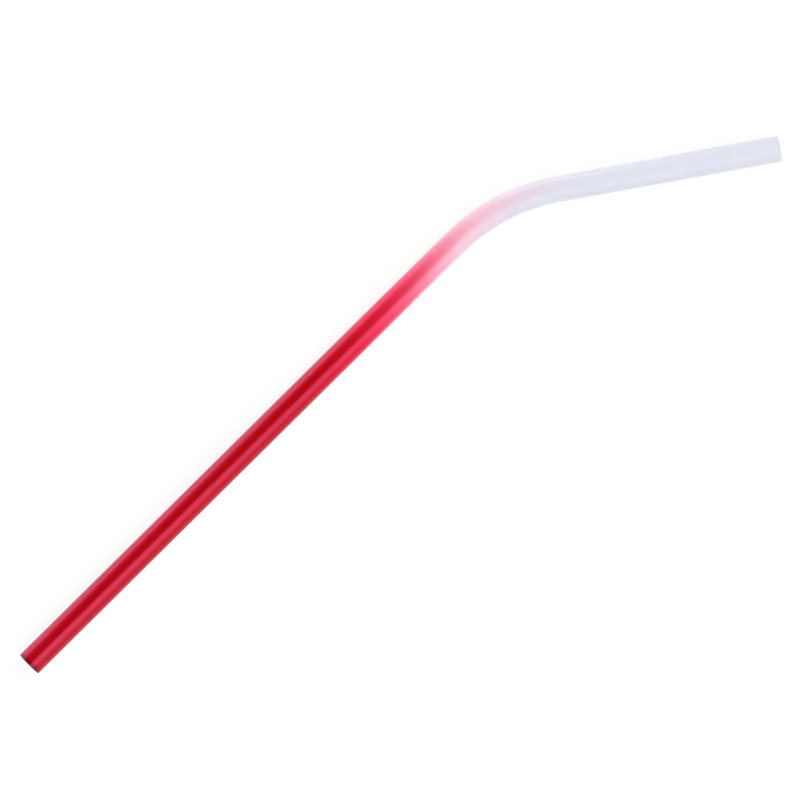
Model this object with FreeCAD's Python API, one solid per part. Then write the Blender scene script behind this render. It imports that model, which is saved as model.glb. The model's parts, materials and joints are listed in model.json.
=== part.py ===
import FreeCAD, Part

import math
import os

# A reusable drinking straw: one drawn stainless steel tube, bent once towards its
# upper end and cut square at both ends, with every rim edge rounded for the lips.
#
# The straw lies on its side, as it comes to rest. The tube's axis runs in a level
# plane one outer radius above the surface. The long drinking leg runs along +X
# from its open end to the bend, and the short mouth leg turns from there towards -Y.
# The origin is under the middle of the straw's bounding box, on the surface.

# Driving dimensions, in millimetres and degrees
OUTER_DIAMETER = 6.0
WALL = 0.5
DRINK_LEG_LENGTH = 136.6  # straight run, from the lower open end to the bend
BEND_RADIUS = 45.0  # to the tube's axis
BEND_ANGLE = 34.4  # how far the mouth leg turns from the drinking leg's line
MOUTH_LEG_LENGTH = 51.4  # straight run, from the bend to the upper open end
RIM_ROUND = 0.2  # radius on the outer and the inner edge of each end

# The two rounds of one rim share the wall, so each takes less than half of it.
ROUND_LIMIT = 0.45  # share of the wall

OUTER_RADIUS = OUTER_DIAMETER / 2
BORE_RADIUS = OUTER_RADIUS - WALL
TURN = math.radians(BEND_ANGLE)

# While it is built, the straw has its origin on the axis, where the bend starts.
UP = FreeCAD.Vector(0, 0, 1)
DRINK_AXIS = FreeCAD.Vector(1, 0, 0)
MOUTH_AXIS = FreeCAD.Vector(math.cos(TURN), -math.sin(TURN), 0)
BEND_START = FreeCAD.Vector(0, 0, 0)
BEND_CENTRE = FreeCAD.Vector(0, -BEND_RADIUS, 0)
BEND_END = BEND_CENTRE + BEND_RADIUS * FreeCAD.Vector(math.sin(TURN), math.cos(TURN), 0)
DRINK_END = BEND_START - DRINK_LEG_LENGTH * DRINK_AXIS
MOUTH_END = BEND_END + MOUTH_LEG_LENGTH * MOUTH_AXIS

NODE = "straw_tube"


def section(centre, axis):
    """The tube's ring-shaped cross-section at a point of its axis."""
    outer = Part.Wire(Part.makeCircle(OUTER_RADIUS, centre, axis))
    bore = Part.Wire(Part.makeCircle(BORE_RADIUS, centre, axis))
    return Part.makeFace([outer, bore], "Part::FaceMakerBullseye")


def straight_leg(start, axis, length):
    """A straight run of tube."""
    return section(start, axis).extrude(length * axis)


def bend():
    """The bend: the section turned about a vertical line, clockwise as seen from above."""
    return section(BEND_START, DRINK_AXIS).revolve(BEND_CENTRE, -UP, BEND_ANGLE)


def rim_edges(tube, end_centre):
    """The outer and the inner edge of the tube where it is cut square at one end."""
    near = 1e-6
    return [
        edge
        for edge in tube.Edges
        if edge.isClosed() and edge.CenterOfMass.distanceToPoint(end_centre) < near
    ]


def straw():
    """The whole tube with its rims rounded."""
    legs = [
        straight_leg(DRINK_END, DRINK_AXIS, DRINK_LEG_LENGTH),
        straight_leg(BEND_END, MOUTH_AXIS, MOUTH_LEG_LENGTH),
    ]
    tube = bend().fuse(legs).removeSplitter().Solids[0]
    rims = rim_edges(tube, DRINK_END) + rim_edges(tube, MOUTH_END)
    return tube.makeFillet(min(RIM_ROUND, ROUND_LIMIT * WALL), rims).Solids[0]


def rest_shift(shape):
    """The move that puts the origin under the middle of the straw, on the surface."""
    box = shape.optimalBoundingBox(False, False)
    return FreeCAD.Vector(-box.Center.x, -box.Center.y, -box.ZMin)


def main():
    """Build the straw and write it as parts/straw_tube.step."""
    tube = straw()
    tube.translate(rest_shift(tube))
    os.makedirs("parts", exist_ok=True)
    tube.exportStep(f"parts/{NODE}.step")
    print(f"{NODE}: volume {tube.Volume:.2f} mm3, box {tube.optimalBoundingBox(False, False)}")


main()
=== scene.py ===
"""A bent drinking straw of drawn stainless steel, lacquered outside, on a pale studio floor.

The straw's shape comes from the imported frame. Its two straight legs are the frame's mounts, and
the bend is the arc that touches both. The tube's wall is one closed surface, and everything that
is painted on it is laid out along the straw as if it were unbent.
"""

import json
import logging
import math
from dataclasses import dataclass
from enum import Enum, auto

import bpy
import numpy as np
from mathutils import Matrix, Vector


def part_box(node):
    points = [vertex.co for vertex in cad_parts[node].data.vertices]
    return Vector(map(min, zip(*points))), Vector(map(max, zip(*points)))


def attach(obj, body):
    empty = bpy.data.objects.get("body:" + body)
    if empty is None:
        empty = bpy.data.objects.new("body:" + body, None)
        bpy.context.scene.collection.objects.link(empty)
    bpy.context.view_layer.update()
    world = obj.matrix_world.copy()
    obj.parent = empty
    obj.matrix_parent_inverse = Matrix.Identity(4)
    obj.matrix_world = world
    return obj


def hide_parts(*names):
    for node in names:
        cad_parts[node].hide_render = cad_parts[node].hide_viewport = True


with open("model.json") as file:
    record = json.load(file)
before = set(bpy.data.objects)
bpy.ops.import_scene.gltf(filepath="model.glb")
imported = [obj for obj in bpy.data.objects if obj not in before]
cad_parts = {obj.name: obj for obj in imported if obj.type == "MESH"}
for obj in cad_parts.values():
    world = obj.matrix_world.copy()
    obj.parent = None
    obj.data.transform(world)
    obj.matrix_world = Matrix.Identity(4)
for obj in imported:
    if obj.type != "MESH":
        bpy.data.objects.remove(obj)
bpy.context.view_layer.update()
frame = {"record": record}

log = logging.getLogger("straw")

MM = 0.001  # metres in a millimetre
STRAW_NODE = "straw_tube"
ONE_BODY = "root"
UP = np.array([0.0, 0.0, 1.0])

UNBENT = "unbent_mm"  # a point of the wall on the straw as if it were unbent
BORE_DEPTH = "bore_depth_mm"  # how deep a point of the bore lies behind the nearer mouth
TEXTURE_MAP = "OFBake"  # the name of the straw's own texture map

Triple = tuple[float, float, float]
Colour = Triple  # red, green and blue, linear


def put_in_scene(name: str, data: bpy.types.ID) -> bpy.types.Object:
    """Make an object, at the origin, and put it in the scene.

    Args:
        name: the object's name.
        data: its mesh, light or camera.

    Returns:
        The new object.
    """
    made = bpy.data.objects.new(name, data)
    bpy.context.scene.collection.objects.link(made)
    return made


# ---------------------------------------------------------------------------------------------
# The straw's shape
# ---------------------------------------------------------------------------------------------


@dataclass(frozen=True)
class Centreline:
    """The tube's axis: a straight leg, an arc that touches both legs, and a second straight leg.

    Lengths along it are in millimetres from the end of the drinking leg.

    Attributes:
        bend_start: where the arc begins, in millimetres.
        along: the drinking leg's direction, towards the bend.
        inward: the level direction from the drinking leg to the inside of the bend.
        bend_radius: the arc's radius.
        turn: how far the arc turns, in radians.
        drink_leg: length of the straight leg before the arc.
        mouth_leg: length of the straight leg after the arc.
    """

    bend_start: np.ndarray
    along: np.ndarray
    inward: np.ndarray
    bend_radius: float
    turn: float
    drink_leg: float
    mouth_leg: float

    @classmethod
    def from_mounts(cls, drink: dict, mouth: dict, beyond: float) -> "Centreline":
        """Work the axis out from the mounts on the two legs.

        The arc joins the inner ends of the two legs. Its chord is 2 r sin(turn / 2) long, which
        gives its radius r.

        Args:
            drink: the mount on the drinking leg, placed at the leg's end and pointing out of it.
            mouth: the mount on the mouth leg, likewise.
            beyond: how far the rim reaches past each mount.

        Returns:
            The axis, from end face to end face.
        """
        along = -np.array(drink["axis"])
        away = np.array(mouth["axis"])
        bend_start = np.array(drink["pos_m"]) / MM + along * drink["dims"]["length_mm"]
        bend_end = np.array(mouth["pos_m"]) / MM - away * mouth["dims"]["length_mm"]
        turn = math.acos(float(along @ away))
        inward = away - (along @ away) * along
        return cls(
            bend_start=bend_start,
            along=along,
            inward=inward / np.linalg.norm(inward),
            bend_radius=float(np.linalg.norm(bend_end - bend_start)) / (2 * math.sin(turn / 2)),
            turn=turn,
            drink_leg=drink["dims"]["length_mm"] + beyond,
            mouth_leg=mouth["dims"]["length_mm"] + beyond,
        )

    @property
    def length(self) -> float:
        """The whole length of the axis."""
        return self.drink_leg + self.bend_radius * self.turn + self.mouth_leg

    def stations(self, at: np.ndarray) -> tuple[np.ndarray, np.ndarray]:
        """Find the axis and its inward side at some lengths along it.

        With a the angle turned so far, held between 0 and the whole turn, a point of the axis is
        the arc's point at a, plus what is left of the length on the straight leg before or after.
        The arc's point is bend_start + r sin(a) along + r (1 - cos(a)) inward.

        Args:
            at: lengths along the axis, in millimetres, in an array of any shape.

        Returns:
            The points of the axis and the level unit vectors to the inside of the bend, each with
            a last dimension of 3.
        """
        angle = np.clip((at - self.drink_leg) / self.bend_radius, 0.0, self.turn)
        before = np.minimum(at - self.drink_leg, 0.0)
        after = np.maximum(at - self.drink_leg - self.bend_radius * self.turn, 0.0)
        sine, cosine = np.sin(angle)[..., None], np.cos(angle)[..., None]
        forward = cosine * self.along + sine * self.inward
        side = cosine * self.inward - sine * self.along
        arc = self.bend_radius * (sine * self.along + (1.0 - cosine) * self.inward)
        return self.bend_start + arc + (before + after)[..., None] * forward, side


class Stretch(Enum):
    """The stretches of the wall's outline, in the order in which the outline runs."""

    OUTSIDE = auto()
    MOUTH_RIM = auto()
    BORE = auto()
    DRINK_RIM = auto()


@dataclass(frozen=True)
class LayoutRows:
    """Rows that hold a long narrow strip on a square texture map.

    Attributes:
        total: length of the strip.
        height: height of the strip.
        gap: share of the map left free between rows and along its edges.
    """

    total: float
    height: float
    gap: float = 0.012

    @property
    def count(self) -> int:
        """The number of rows for which the rows together are about as high as they are long."""
        return max(1, round(math.sqrt(self.total / self.height)))

    def row_of(self, run: np.ndarray) -> np.ndarray:
        """The row on which each length along the strip falls."""
        return np.minimum((run / self.total * self.count).astype(int), self.count - 1)

    def across(self, run: np.ndarray, row: np.ndarray) -> np.ndarray:
        """The place across the map, from 0 to 1, of lengths along the strip on their rows."""
        within = run / self.total * self.count - row
        return self.gap + (1 - 2 * self.gap) * np.clip(within, 0.0, 1.0)

    def up(self, row: np.ndarray, turn: np.ndarray) -> np.ndarray:
        """The place up the map, from 0 to 1, of turns around the tube on their rows."""
        return (row + self.gap * self.count + turn * (1 - 2 * self.gap * self.count)) / self.count


@dataclass
class StrawTube:
    """The straw: one tube with a thin wall, open at both ends, with rounded rims.

    Attributes:
        centreline: the tube's axis.
        outer_radius: radius of the outside, in millimetres.
        bore_radius: radius of the bore.
        rim_round: radius of each rim's outer and inner edge.
        lacquer: the finish of the whole wall.
        around: how many faces go around the tube.
        pitch: length of a face along the tube.
        end_pitch: length of a face near the ends, where the lacquer stops inside the bore.
        end_length: how far the short faces reach from each end.
        round_steps: how many faces make each quarter of a rim.
    """

    centreline: Centreline
    outer_radius: float
    bore_radius: float
    rim_round: float
    lacquer: "FadedLacquer"
    around: int = 128
    pitch: float = 1.0
    end_pitch: float = 0.25
    end_length: float = 5.0
    round_steps: int = 6

    def run(self) -> np.ndarray:
        """Lengths along one straight side of the wall's outline, between the two rims.

        Returns:
            Lengths from rim to rim, evenly spaced, and closer together near both ends.
        """
        low, high = self.rim_round, self.centreline.length - self.rim_round
        ends = round(self.end_length / self.end_pitch)
        middle = round((high - low - 2 * self.end_length) / self.pitch)
        return np.concatenate(
            [
                np.linspace(low, low + self.end_length, ends, endpoint=False),
                np.linspace(low + self.end_length, high - self.end_length, middle, endpoint=False),
                np.linspace(high - self.end_length, high, ends + 1),
            ]
        )

    def rim(self) -> tuple[np.ndarray, np.ndarray]:
        """The rounded rim between the outside and the bore.

        Two quarter circles of radius q, with centres q inside the outside and q outside the bore,
        and the flat end face between them. At angle t a quarter stands q (1 - sin(t)) short of
        the end face and q cos(t) from its centre's radius.

        Returns:
            How far each point lies short of the end face, and its radius, from the outside to the
            bore, without the first and the last point, which belong to the straight sides.
        """
        angle = np.linspace(0.0, math.pi / 2, self.round_steps + 1)
        short = self.rim_round * (1.0 - np.sin(angle))
        reach = self.rim_round * np.cos(angle)
        outer = self.outer_radius - self.rim_round + reach
        inner = self.bore_radius + self.rim_round - reach
        return (
            np.concatenate([short, short[::-1]])[1:-1],
            np.concatenate([outer, inner[::-1]])[1:-1],
        )

    def outline(self) -> tuple[np.ndarray, np.ndarray, np.ndarray]:
        """The closed outline of the wall, cut along the tube.

        It runs along the outside to the mouth, round that rim, back along the bore, and round the
        drinking end's rim.

        Returns:
            For each of the outline's points its length along the axis, its radius and the value
            of its stretch.
        """
        run = self.run()
        short, radius = self.rim()
        parts = {
            Stretch.OUTSIDE: (run, np.full(run.shape, self.outer_radius)),
            Stretch.MOUTH_RIM: (self.centreline.length - short, radius),
            Stretch.BORE: (run[::-1], np.full(run.shape, self.bore_radius)),
            Stretch.DRINK_RIM: (short[::-1], radius[::-1]),
        }
        lengths, radii = zip(*parts.values())
        stretch = np.repeat([kind.value for kind in parts], [len(at) for at in lengths])
        return np.concatenate(lengths), np.concatenate(radii), stretch

    def bore_depth(self, at: np.ndarray, stretch: np.ndarray) -> np.ndarray:
        """How deep the outline's points lie in the bore.

        Args:
            at: the length along the axis of each point.
            stretch: the value of each point's stretch.

        Returns:
            The distance of each point from the nearer rim, and 0 on the outside and the rims.
        """
        from_end = np.minimum(at, self.centreline.length - at)
        return np.where(stretch == Stretch.BORE.value, from_end - self.rim_round, 0.0)

    def unfolded(self, at: np.ndarray, radius: np.ndarray) -> np.ndarray:
        """Lay the wall out flat for its texture map.

        The outline's length is folded into rows of equal length, one above the other, and each
        row's height is the way around the tube.

        Args:
            at: the length along the axis of each of the outline's points, the first one repeated.
            radius: the radius of each of the outline's points, likewise.

        Returns:
            The place on the map of each face's four corners, by outline step and by step around.
        """
        step = np.hypot(np.diff(at), np.diff(radius))
        run = np.concatenate([[0.0], np.cumsum(step)])
        rows = LayoutRows(total=float(run[-1]), height=2 * math.pi * self.outer_radius)
        row = rows.row_of((run[:-1] + run[1:]) / 2)
        start, end = rows.across(run[:-1], row), rows.across(run[1:], row)
        turn = np.linspace(0.0, 1.0, self.around + 1)
        corners = np.zeros((len(step), self.around, 4, 2))
        corners[:, :, 0, 0] = corners[:, :, 3, 0] = start[:, None]
        corners[:, :, 1, 0] = corners[:, :, 2, 0] = end[:, None]
        corners[:, :, 0, 1] = corners[:, :, 1, 1] = rows.up(row[:, None], turn[None, :-1])
        corners[:, :, 2, 1] = corners[:, :, 3, 1] = rows.up(row[:, None], turn[None, 1:])
        return corners

    def build(self) -> bpy.types.Object:
        """Make the straw as one closed mesh.

        A point of the wall is centre(s) + radius (cos(phi) side + sin(phi) up), with s and the
        radius from the outline and phi the angle around. Both ways the grid closes on itself, so
        the wall has no seam and no open edge.

        Returns:
            The straw's object, at the origin, with its attributes, its map and its finish.
        """
        at, radius, stretch = self.outline()
        phi = np.arange(self.around) * (2 * math.pi / self.around)
        centre, side = self.centreline.stations(at)
        across = radius[:, None] * np.cos(phi)
        above = radius[:, None] * np.sin(phi)
        points = centre[:, None, :] + across[..., None] * side[:, None, :] + above[..., None] * UP
        unbent = np.stack([across, above, np.broadcast_to(at[:, None], across.shape)], axis=-1)
        depth = np.broadcast_to(self.bore_depth(at, stretch)[:, None], across.shape)

        first = np.arange(len(at))[:, None] * self.around + np.arange(self.around)
        onward = np.roll(first, -1, axis=0)
        faces = np.stack(
            [first, onward, np.roll(onward, -1, axis=1), np.roll(first, -1, axis=1)], axis=-1
        )
        mesh = bpy.data.meshes.new("straw")
        mesh.from_pydata((points * MM).reshape(-1, 3), [], faces.reshape(-1, 4))
        mesh.shade_smooth()

        placed = mesh.attributes.new(UNBENT, "FLOAT_VECTOR", "POINT")
        placed.data.foreach_set("vector", unbent.astype(np.float32).ravel())
        deep = mesh.attributes.new(BORE_DEPTH, "FLOAT", "POINT")
        deep.data.foreach_set("value", depth.astype(np.float32).ravel())
        corners = self.unfolded(np.append(at, at[0]), np.append(radius, radius[0]))
        texture_map = mesh.uv_layers.new(name=TEXTURE_MAP)
        texture_map.uv.foreach_set("vector", corners.astype(np.float32).ravel())
        mesh.materials.append(self.lacquer.material())
        return put_in_scene("straw", mesh)


# ---------------------------------------------------------------------------------------------
# Finishes
# ---------------------------------------------------------------------------------------------


@dataclass(frozen=True)
class Clouds:
    """A cloudy pattern, which some property of a finish follows from place to place.

    Attributes:
        per_mm: how many clouds there are to a millimetre, inwards, upwards and along the straw.
        swing: how far the property changes from its least to its most, in its own unit.
        detail: how many finer octaves are laid over the clouds.
    """

    per_mm: Triple
    swing: float = 1.0
    detail: float = 2.0


class MixOf(Enum):
    """What a Mix node mixes."""

    NUMBERS = "FLOAT"
    COLOURS = "RGBA"


class NodeSheet:
    """A material's or world's node tree, with short calls for the nodes that the finishes use."""

    def __init__(self, tree: bpy.types.NodeTree) -> None:
        """Take over a node tree and empty it."""
        self.tree = tree
        self.tree.nodes.clear()

    @classmethod
    def for_material(cls, name: str) -> tuple[bpy.types.Material, "NodeSheet"]:
        """Make a material.

        Args:
            name: the material's name.

        Returns:
            The material and the sheet of its nodes.
        """
        material = bpy.data.materials.new(name)
        material.use_nodes = True
        return material, cls(material.node_tree)

    def add(self, kind: str, inputs: dict | None = None, **settings: object) -> bpy.types.Node:
        """Add a node.

        Args:
            kind: the node's type.
            inputs: for each input's name or number, its value or the output that feeds it.
            settings: the node's own settings.

        Returns:
            The new node.
        """
        node = self.tree.nodes.new(kind)
        for name, setting in settings.items():
            setattr(node, name, setting)
        for name, value in (inputs or {}).items():
            if isinstance(value, bpy.types.NodeSocket):
                self.tree.links.new(value, node.inputs[name])
            else:
                node.inputs[name].default_value = value
        return node

    def maths(self, operation: str, *terms: object) -> bpy.types.NodeSocket:
        """The output of a Math node on numbers or other outputs."""
        return self.add("ShaderNodeMath", dict(enumerate(terms)), operation=operation).outputs[0]

    def times_plus(self, value: object, by: object, plus: object) -> bpy.types.NodeSocket:
        """The output value x by + plus."""
        return self.maths("MULTIPLY_ADD", value, by, plus)

    def scaled(self, colour: object, by: object) -> bpy.types.NodeSocket:
        """The output colour x by."""
        inputs = {0: colour, "Scale": by}
        return self.add("ShaderNodeVectorMath", inputs, operation="SCALE").outputs[0]

    def mixed(
        self, kind: MixOf, share: object, first: object, second: object
    ) -> bpy.types.NodeSocket:
        """The output first x (1 - share) + second x share."""
        inputs = {"Factor": share, "A": first, "B": second}
        return self.add("ShaderNodeMix", inputs, data_type=kind.value).outputs["Result"]

    def smooth(self, value: object, low: float, high: float) -> bpy.types.NodeSocket:
        """A smooth rise from 0 at low to 1 at high."""
        inputs = {"Value": value, "From Min": low, "From Max": high}
        return self.add("ShaderNodeMapRange", inputs, interpolation_type="SMOOTHSTEP").outputs[0]

    def noise(self, place: bpy.types.NodeSocket, clouds: Clouds) -> bpy.types.NodeSocket:
        """Cloudy noise about 0.

        Args:
            place: where each point lies, in millimetres.
            clouds: the pattern.

        Returns:
            The noise, from roughly -0.5 to 0.5, whatever the pattern's swing is.
        """
        near = self.add(
            "ShaderNodeVectorMath", {0: place, 1: clouds.per_mm}, operation="MULTIPLY"
        ).outputs[0]
        inputs = {"Vector": near, "Scale": 1.0, "Detail": clouds.detail}
        noise = self.add("ShaderNodeTexNoise", inputs).outputs["Fac"]
        return self.maths("SUBTRACT", noise, 0.5)

    def swung(
        self, place: bpy.types.NodeSocket, clouds: Clouds, about: object
    ) -> bpy.types.NodeSocket:
        """The output about + noise x swing: a property that follows a cloudy pattern."""
        return self.times_plus(self.noise(place, clouds), clouds.swing, about)


@dataclass(frozen=True)
class FadedLacquer:
    """Glossy lacquer over drawn steel, red at the drinking end, fading to a pale lavender white.

    Outside and on the rims the lacquer is a coloured coat that lets some of the steel shine
    through. The spray reaches a little way into both mouths, and the bore behind it is bare.

    Attributes:
        pale: colour of the lacquer with no dye in it, linear.
        pink: colour of the thinnest film of dye, linear.
        blush_range: where that film starts to show, and where it covers the straw, in
            millimetres from the drinking end.
        dye_range: where the film starts to thicken, and where it is full, likewise.
        absorbed: how strongly a full film takes red, green and blue out of the light.
        rim_shade_dye: extra dye on the drinking end's rim, as a share of a full film: painted
            shade of the rounded rim, which turns away from the light.
        rim_shade_range: how far from the end that painted shade starts to thin out, and where
            it ends.
        steel_through: how much of the steel shines through a full film, from 0 to 1.
        steady_rim: how far from the drinking end the fade starts to stray, and where it does fully.
        inward_lead: how much sooner the fade comes on the inside of the bend, in millimetres.
        lead_range: how far inwards from the axis that lead starts, and where it is full.
        flank_lead: how much sooner still it comes on both flanks, where the spray lies thinner.
        flank_range: how far to the side of the axis that starts, and where it is full.
        wander: broad clouds in which the fade wanders along the tube, in millimetres.
        speckle: single droplets of the spray, which land beside the fade, in millimetres.
        mottle: how the lacquer's depth of colour varies from place to place.
        roughness: roughness of the lacquer, and of the steel that shines through it, under the
            clear coat.
        coat: weight of the clear coat.
        coat_ior: the clear coat's index of refraction.
        coat_roughness: roughness of the clear coat.
        pearl: strength of the lacquer's own shine under the coat.
        pearl_tint: colour of that shine, linear.
        peel: the lacquer's orange peel, whose height is in millimetres. The drawing lines of the
            bare steel are as high.
        overspray: how deep in the mouths the spray starts to thin out, and where it ends, in
            millimetres.
        ragged: how the spray's edge strays in the mouths, in millimetres.
        steel: colour of the bare drawn steel, linear.
        steel_roughness: roughness of the bare steel.
        streaks: the drawing lines along the steel.
        streak_tint: how much the steel's brightness varies with them.
        streak_lacquer: how much they vary the roughness of the lacquer over them.
        streak_steel: how much they vary the roughness of the bare steel.
    """

    pale: Colour = (0.67, 0.68, 0.75)
    pink: Colour = (1.0, 0.25, 0.36)
    blush_range: tuple[float, float] = (172.0, 112.0)
    dye_range: tuple[float, float] = (145.0, 85.0)
    absorbed: Triple = (0.75, 5.5, 4.2)
    # Extra dye darkens the drinking end's rim: painted shade of the rounded rim.
    rim_shade_dye: float = 1.2
    rim_shade_range: tuple[float, float] = (0.2, 1.4)
    steel_through: float = 0.15
    steady_rim: tuple[float, float] = (2.0, 12.0)
    inward_lead: float = 8.0
    lead_range: tuple[float, float] = (-0.45, 1.8)
    flank_lead: float = 8.0
    flank_range: tuple[float, float] = (2.3, 3.0)
    wander: Clouds = Clouds((0.25, 0.25, 0.06), 2.0)
    speckle: Clouds = Clouds((2.6, 2.6, 2.6), 2.5)
    mottle: Clouds = Clouds((0.7, 0.7, 0.3), 0.12)
    roughness: float = 0.25
    coat: float = 0.11
    coat_ior: float = 1.5
    coat_roughness: float = 0.06
    pearl: float = 0.36
    pearl_tint: Colour = (0.25, 0.3, 0.85)
    peel: Clouds = Clouds((0.8, 0.8, 0.5), 0.002, detail=1.0)
    overspray: tuple[float, float] = (0.75, 2.25)
    ragged: Clouds = Clouds((0.9, 0.9, 0.9), 0.8, detail=4.0)
    steel: Colour = (0.62, 0.61, 0.59)
    steel_roughness: float = 0.40
    streaks: Clouds = Clouds((3.0, 3.0, 0.02), detail=3.0)
    streak_tint: float = 0.18
    streak_lacquer: float = 0.04
    streak_steel: float = 0.25

    def material(self) -> bpy.types.Material:
        """Make the finish.

        Returns:
            The material, which reads the straw's own attributes.
        """
        material, sheet = NodeSheet.for_material("faded_lacquer")
        place = sheet.add("ShaderNodeAttribute", attribute_name=UNBENT).outputs["Vector"]
        depth = sheet.add("ShaderNodeAttribute", attribute_name=BORE_DEPTH).outputs["Fac"]
        inward, _, along = sheet.add("ShaderNodeSeparateXYZ", {0: place}).outputs

        painted, steel_share = self.fade(sheet, place, inward, along)
        bare = self.bare(sheet, place, depth)
        streaks = sheet.noise(place, self.streaks)

        painted = sheet.scaled(painted, sheet.swung(place, self.mottle, 1.0))
        steel = sheet.scaled(self.steel, sheet.times_plus(streaks, self.streak_tint, 1.0))
        painted_roughness = sheet.times_plus(streaks, self.streak_lacquer, self.roughness)
        steel_roughness = sheet.times_plus(streaks, self.streak_steel, self.steel_roughness)
        relief = self.relief(sheet, place, streaks, bare)

        shader = sheet.add(
            "ShaderNodeBsdfPrincipled",
            {
                "Base Color": sheet.mixed(MixOf.COLOURS, bare, painted, steel),
                "Metallic": sheet.maths("MAXIMUM", steel_share, bare),
                "Roughness": sheet.mixed(MixOf.NUMBERS, bare, painted_roughness, steel_roughness),
                "Specular IOR Level": self.pearl,
                "Specular Tint": (*self.pearl_tint, 1.0),
                "Coat Weight": sheet.times_plus(bare, -self.coat, self.coat),
                "Coat Roughness": self.coat_roughness,
                "Coat IOR": self.coat_ior,
                "Normal": relief,
                "Coat Normal": relief,
            },
        )
        sheet.add("ShaderNodeOutputMaterial", {"Surface": shader.outputs[0]})
        return material

    def fade(
        self,
        sheet: NodeSheet,
        place: bpy.types.NodeSocket,
        inward: bpy.types.NodeSocket,
        along: bpy.types.NodeSocket,
    ) -> tuple[bpy.types.NodeSocket, bpy.types.NodeSocket]:
        """The lacquer's colour and how much steel shines through it.

        Dye takes light away as a filter does. With b how far the thinnest film covers the straw
        and d how thick the dye is, the colour is (pale (1 - b) + pink b) exp(-absorbed d).

        Both are read at the length along the straw, moved by its leads on the inside of the bend
        and on both flanks, by broad clouds and by fine droplets. At the drinking end's rim nothing
        moves them, and extra dye there darkens the rim: painted shade of the rounded edge, which
        turns away from the light.

        Args:
            sheet: the material's nodes.
            place: the point on the unbent straw.
            inward: how far the point lies towards the inside of the bend.
            along: the point's length along the straw.

        Returns:
            The colour and the steel's share.
        """
        lead = sheet.maths("MULTIPLY", sheet.smooth(inward, *self.lead_range), self.inward_lead)
        flank = sheet.smooth(sheet.maths("ABSOLUTE", inward), *self.flank_range)
        lead = sheet.times_plus(flank, self.flank_lead, lead)
        moved = sheet.swung(place, self.speckle, sheet.swung(place, self.wander, lead))
        at = sheet.times_plus(moved, sheet.smooth(along, *self.steady_rim), along)
        blush = sheet.smooth(at, *self.blush_range)
        dye = sheet.smooth(at, *self.dye_range)
        # Painted shade: extra dye darkens the drinking end's rim, whose rounded edge turns away
        # from the light.
        past_rim_shade = sheet.smooth(along, *self.rim_shade_range)
        painted_rim_shade = sheet.times_plus(past_rim_shade, -self.rim_shade_dye, self.rim_shade_dye)
        thickness = sheet.maths("ADD", dye, painted_rim_shade)
        passed = [
            sheet.maths("EXPONENT", sheet.maths("MULTIPLY", thickness, -strength))
            for strength in self.absorbed
        ]
        film = sheet.mixed(MixOf.COLOURS, blush, (*self.pale, 1.0), (*self.pink, 1.0))
        filtered = sheet.add("ShaderNodeCombineXYZ", dict(enumerate(passed))).outputs[0]
        inputs = {0: film, 1: filtered}
        colour = sheet.add("ShaderNodeVectorMath", inputs, operation="MULTIPLY").outputs[0]
        # No steel shines through the painted rim shade.
        dye_past_rim_shade = sheet.maths("MULTIPLY", dye, past_rim_shade)
        return colour, sheet.maths("MULTIPLY", dye_past_rim_shade, self.steel_through)

    def bare(
        self, sheet: NodeSheet, place: bpy.types.NodeSocket, depth: bpy.types.NodeSocket
    ) -> bpy.types.NodeSocket:
        """Where the steel is bare: in the bore, past the ragged edge of the overspray."""
        return sheet.smooth(sheet.swung(place, self.ragged, depth), *self.overspray)

    def relief(
        self,
        sheet: NodeSheet,
        place: bpy.types.NodeSocket,
        streaks: bpy.types.NodeSocket,
        bare: bpy.types.NodeSocket,
    ) -> bpy.types.NodeSocket:
        """The orange peel of the lacquer and the drawing lines of the bare steel.

        Args:
            sheet: the material's nodes.
            place: the point on the unbent straw.
            streaks: the noise of the drawing lines.
            bare: where the steel is bare.

        Returns:
            The normal that they give the surface.
        """
        height = sheet.mixed(MixOf.NUMBERS, bare, sheet.noise(place, self.peel), streaks)
        bump = {"Height": height, "Distance": self.peel.swing * MM, "Strength": 1.0}
        return sheet.add("ShaderNodeBump", bump).outputs[0]


@dataclass(frozen=True)
class StudioWhite:
    """The pale floor and its cove: white to the camera and in reflections, with soft shadows.

    Attributes:
        albedo: how much of the light the floor gives back.
        lit_by_itself: share of the white that doesn't depend on the lamps, near the straw.
        white: strength of that share.
        all_white: distances from the straw, in metres, between which that share rises to 1.
    """

    albedo: float = 0.85
    lit_by_itself: float = 0.82
    white: float = 1.05
    all_white: tuple[float, float] = (0.3, 1.2)

    def material(self) -> bpy.types.Material:
        """Make the finish.

        Returns:
            A material that is a plain diffuse white to the light, and that mixes its own white in
            for what the camera and mirrors and glass see.
        """
        material, sheet = NodeSheet.for_material("studio_white")
        ray = sheet.add("ShaderNodeLightPath").outputs
        mirrored = sheet.maths("MAXIMUM", ray["Is Glossy Ray"], ray["Is Transmission Ray"])
        seen = sheet.maths("MAXIMUM", ray["Is Camera Ray"], mirrored)
        paint = sheet.add("ShaderNodeBsdfDiffuse", {"Color": (*[self.albedo] * 3, 1.0)})
        glow = sheet.add("ShaderNodeEmission", {"Strength": self.white})
        place = sheet.add("ShaderNodeTexCoord").outputs["Object"]
        away = sheet.add("ShaderNodeVectorMath", {0: place}, operation="LENGTH").outputs["Value"]
        far = sheet.smooth(away, *self.all_white)
        own = sheet.times_plus(far, 1.0 - self.lit_by_itself, self.lit_by_itself)
        share = sheet.maths("MULTIPLY", seen, own)
        mix = sheet.add("ShaderNodeMixShader", {0: share, 1: paint.outputs[0], 2: glow.outputs[0]})
        sheet.add("ShaderNodeOutputMaterial", {"Surface": mix.outputs[0]})
        return material


# ---------------------------------------------------------------------------------------------
# Studio
# ---------------------------------------------------------------------------------------------


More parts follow.
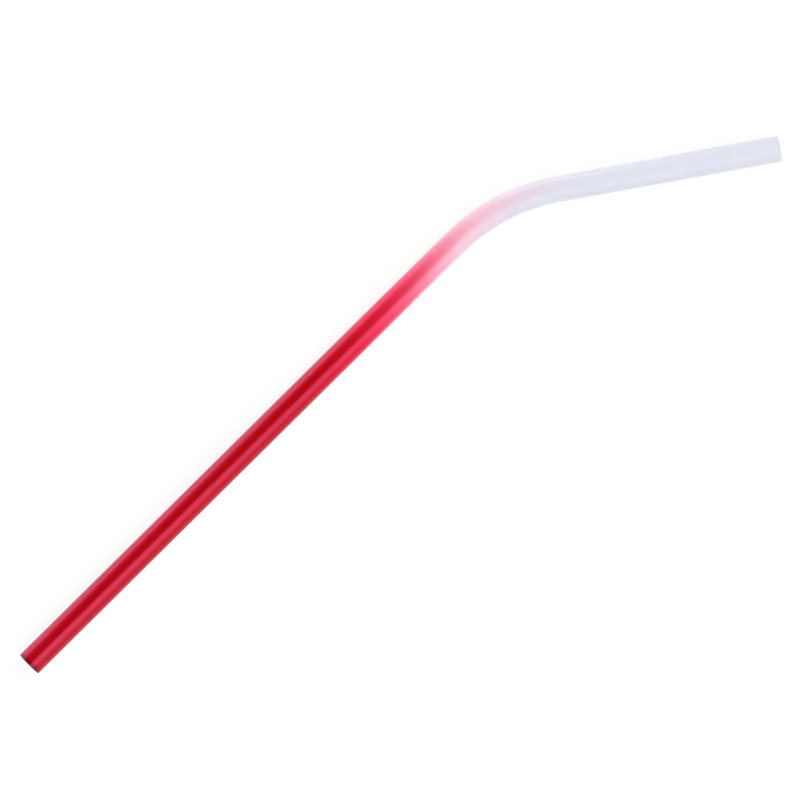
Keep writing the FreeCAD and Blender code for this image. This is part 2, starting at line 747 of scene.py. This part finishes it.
@dataclass
class FloorAndCove:
    """A round pale floor that curves up into a low wall all round the straw.

    Attributes:
        finish: the floor's material.
        middle_radius: radius of the one face under the straw, in metres.
        flat_radius: radius of the flat floor.
        cove_radius: radius of the curve between floor and wall.
        wall: height of the straight wall above the curve.
        around: how many faces go around.
        cove_steps: how many faces make the curve.
    """

    finish: StudioWhite = StudioWhite()
    middle_radius: float = 1.0
    flat_radius: float = 3.0
    cove_radius: float = 0.5
    wall: float = 0.5
    around: int = 96
    cove_steps: int = 16

    def build(self) -> bpy.types.Object:
        """Make the floor.

        A point is (r cos(phi), r sin(phi), z), with the profile (r, z) running out along the
        floor, up the quarter circle (flat + c sin(t), c (1 - cos(t))), where c is its radius and
        t its angle, and up the wall.

        Returns:
            The floor's object.
        """
        angle = np.linspace(0.0, math.pi / 2, self.cove_steps + 1)
        out = self.flat_radius + self.cove_radius * np.sin(angle)
        rise = self.cove_radius * (1.0 - np.cos(angle))
        radius = np.concatenate([[self.middle_radius], out, out[-1:]])
        height = np.concatenate([[0.0], rise, rise[-1:] + self.wall])
        phi = np.arange(self.around) * (2 * math.pi / self.around)
        ring = np.stack([np.cos(phi), np.sin(phi)], axis=-1)
        points = np.concatenate(
            [
                radius[:, None, None] * ring,
                np.broadcast_to(height[:, None, None], (len(height), self.around, 1)),
            ],
            axis=-1,
        ).reshape(-1, 3)
        first = np.arange(len(radius) - 1)[:, None] * self.around + np.arange(self.around)
        beside = np.roll(first, -1, axis=1)
        walls = np.stack([first, first + self.around, beside + self.around, beside], axis=-1)
        middle = [tuple(range(self.around))]
        mesh = bpy.data.meshes.new("floor")
        mesh.from_pydata(points.tolist(), [], middle + walls.reshape(-1, 4).tolist())
        mesh.shade_smooth()
        mesh.materials.append(self.finish.material())
        floor = put_in_scene("floor", mesh)
        return floor


def flat_lamp(
    name: str, width: float, height: float, radiance: float, tint: Colour = (1.0, 1.0, 1.0)
) -> bpy.types.Object:
    """Make a flat lamp that shines downwards and that the camera doesn't see.

    Its power is pi times its radiance times its area.

    Args:
        name: the lamp's name.
        width: its width along X, in metres.
        height: its height along Y, in metres.
        radiance: how bright its face is, where 1 is white.
        tint: colour of its light, linear.

    Returns:
        The lamp's object, at the origin.
    """
    data = bpy.data.lights.new(name, "AREA")
    data.shape = "RECTANGLE"
    data.size, data.size_y = width, height
    data.energy = math.pi * radiance * width * height
    data.color = tint
    lamp = put_in_scene(name, data)
    lamp.visible_camera = False
    return lamp


@dataclass(frozen=True)
class SoftBox:
    """A flat soft lamp that faces the straw.

    Attributes:
        name: the lamp's name.
        bearing: the level direction in which it stands, in degrees from +X towards +Y.
        from_vertical: how far it leans from straight overhead, in degrees.
        distance: distance from the straw, in metres.
        width: its level width, in metres.
        height: its height, in metres.
        radiance: how bright its face is, where 1 is white.
    """

    name: str
    bearing: float
    from_vertical: float
    distance: float
    width: float
    height: float
    radiance: float

    def build(self, target: Vector) -> bpy.types.Object:
        """Hang the lamp and turn its face to the target.

        Args:
            target: the point that it faces, in metres.

        Returns:
            The lamp's object.
        """
        bearing, lean = math.radians(self.bearing), math.radians(self.from_vertical)
        out = Vector(
            (
                math.sin(lean) * math.cos(bearing),
                math.sin(lean) * math.sin(bearing),
                math.cos(lean),
            )
        )
        level = Vector((-math.sin(bearing), math.cos(bearing), 0.0))
        turned = Matrix((level, out.cross(level), out)).transposed().to_4x4()
        lamp = flat_lamp(self.name, self.width, self.height, self.radiance)
        lamp.matrix_world = Matrix.Translation(target + out * self.distance) @ turned
        return lamp


@dataclass(frozen=True)
class FloorPanel:
    """A flat panel of light that lies on the floor outside the bend and shines upwards.

    It lies in line with the drinking leg, whose axis runs along X.

    Attributes:
        name: the lamp's name.
        gap: how far its near edge lies from the line of the leg's axis, in millimetres.
        width: its width away from that line, in millimetres.
        length: its length along that line, in millimetres.
        bend_end: where its end on the bend's side lies along X, in millimetres.
        radiance: how bright its face is, where 1 is white.
        tint: colour of its light, linear.
        lift: how far it lies above the floor, in millimetres.
    """

    name: str
    gap: float
    width: float
    length: float
    bend_end: float
    radiance: float
    tint: Colour = (1.0, 1.0, 1.0)
    lift: float = 0.2

    def build(self, leg_side: float) -> bpy.types.Object:
        """Lay the panel down, turned over so that it shines upwards.

        Args:
            leg_side: how far to the side the drinking leg's axis lies, in metres.

        Returns:
            The lamp's object.
        """
        lamp = flat_lamp(
            self.name, self.length * MM, self.width * MM, self.radiance, self.tint
        )
        lamp.location = (
            (self.bend_end - self.length / 2) * MM,
            leg_side + (self.gap + self.width / 2) * MM,
            self.lift * MM,
        )
        lamp.rotation_euler = (math.pi, 0.0, 0.0)
        return lamp


@dataclass(frozen=True)
class Studio:
    """The lamps and the dim room around the straw.

    Attributes:
        boxes: the soft lamps.
        panels: the panels of light on the floor, one beside the leg and one beside the bend.
        room: brightness of the room's grey, the same in all directions.
    """

    # name, bearing, from_vertical, distance, width, height, radiance
    boxes: tuple[SoftBox, ...] = (
        SoftBox("key_strip", -93.5, 37.0, 2.5, 0.5, 2.0, 3.7),
        SoftBox("key_skirt", -92.0, 68.0, 2.5, 0.7, 0.9, 0.9),
        SoftBox("front_side", -55.0, 64.0, 2.5, 0.7, 0.9, 3.2),
        SoftBox("rear_side", -145.0, 62.0, 2.5, 0.7, 0.9, 0.9),
        SoftBox("bend_key", -109.0, 30.0, 2.5, 0.33, 2.2, 2.3),
        SoftBox("back_high", 84.0, 61.0, 1.2, 1.4, 0.40, 1.0),
        SoftBox("back_low", 82.0, 83.0, 1.2, 1.4, 0.28, 4.3),
        SoftBox("bend_glint", 60.0, 84.0, 1.2, 0.4, 0.3, 2.0),
        SoftBox("drink_end_fill", -145.0, 50.0, 1.1, 0.8, 0.9, 2.95),
        SoftBox("mouth_end_fill", 0.0, 45.0, 1.1, 0.8, 0.9, 3.5),
    )
    # name, gap, width, length, bend_end, radiance, tint
    panels: tuple[FloorPanel, ...] = (
        FloorPanel("leg_panel", 8.0, 52.0, 260.0, 10.0, 1.75, (0.64, 0.62, 1.0)),
        FloorPanel("bend_panel", 8.0, 52.0, 240.0, 250.0, 1.1),
    )
    room: float = 0.07

    def build(self, target: Vector, leg_side: float) -> list[bpy.types.Object]:
        """Hang the lamps and set the room's grey.

        Args:
            target: the middle of the straw, which the soft lamps face, in metres.
            leg_side: how far to the side the drinking leg's axis lies, in metres.

        Returns:
            The lamps' objects.
        """
        world = bpy.data.worlds.new("room")
        world.use_nodes = True
        sheet = NodeSheet(world.node_tree)
        inputs = {"Color": (1.0, 1.0, 1.0, 1.0), "Strength": self.room}
        grey = sheet.add("ShaderNodeBackground", inputs)
        sheet.add("ShaderNodeOutputWorld", {"Surface": grey.outputs[0]})
        bpy.context.scene.world = world
        boxes = [box.build(target) for box in self.boxes]
        return boxes + [panel.build(leg_side) for panel in self.panels]


@dataclass(frozen=True)
class OverheadCamera:
    """A camera that looks straight down with a long lens.

    Attributes:
        lens: focal length, in millimetres.
        sensor: width of the sensor, in millimetres.
        view: width of what it sees at the tube's axis, in millimetres.
        turn: how far the drinking leg rises from the picture's level, in degrees.
        aim_right: how far the middle of the view lies right of the straw's middle, in millimetres.
        aim_up: how far it lies above the straw's middle in the picture, in millimetres.
        clip: the nearest and the furthest distance that it sees, in metres.
    """

    lens: float = 400.0
    sensor: float = 36.0
    view: float = 182.4
    turn: float = 44.71
    aim_right: float = -1.40
    aim_up: float = 0.68
    clip: tuple[float, float] = (0.01, 20.0)

    def build(self, middle: Vector) -> bpy.types.Object:
        """Place the camera over the straw.

        Args:
            middle: the middle of the straw, in metres.

        Returns:
            The camera, which is also the scene's.
        """
        turn = math.radians(self.turn)
        right = Vector((math.cos(turn), -math.sin(turn), 0.0))
        up = Vector((math.sin(turn), math.cos(turn), 0.0))
        above = self.view * self.lens / self.sensor
        aim = middle + (right * self.aim_right + up * self.aim_up) * MM
        data = bpy.data.cameras.new("overhead")
        data.lens = self.lens
        data.sensor_width = self.sensor
        data.clip_start, data.clip_end = self.clip
        camera = put_in_scene("overhead", data)
        camera.location = aim + Vector((0.0, 0.0, above * MM))
        camera.rotation_euler = (0.0, 0.0, -turn)
        bpy.context.scene.camera = camera
        return camera


def main() -> None:
    """Build the straw, its floor, its lamps and its camera."""
    logging.basicConfig(level=logging.INFO, format="%(name)s: %(message)s")
    mounts = {mount["name"]: mount for mount in frame["record"]["mounts"]}
    drink, mouth = mounts["drink_leg_outside"], mounts["mouth_leg_outside"]
    low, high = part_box(STRAW_NODE)
    rim_round = drink["pos_m"][0] / MM - low.x / MM
    tube = StrawTube(
        centreline=Centreline.from_mounts(drink, mouth, rim_round),
        outer_radius=drink["dims"]["r_mm"],
        bore_radius=mounts["drink_end_bore"]["dims"]["r_mm"],
        rim_round=rim_round,
        lacquer=FadedLacquer(),
    )
    straw = tube.build()
    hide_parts(STRAW_NODE)
    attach(straw, ONE_BODY)
    faces = len(straw.data.polygons)
    log.info("%s: %d faces, %.1f mm along its axis", straw.name, faces, tube.centreline.length)

    middle = (low + high) / 2
    floor = FloorAndCove().build()
    log.info("%s: %.1f m across", floor.name, floor.dimensions.x)
    for lamp in Studio().build(middle, drink["pos_m"][1]):
        log.info("lamp %s: %.2f W", lamp.name, lamp.data.energy)
    camera = OverheadCamera().build(middle)
    log.info("camera %s: %.3f m above the axis", camera.name, camera.location.z - middle.z)

    bpy.context.scene.view_settings.view_transform = "Standard"


if __name__ == "__main__":
    main()
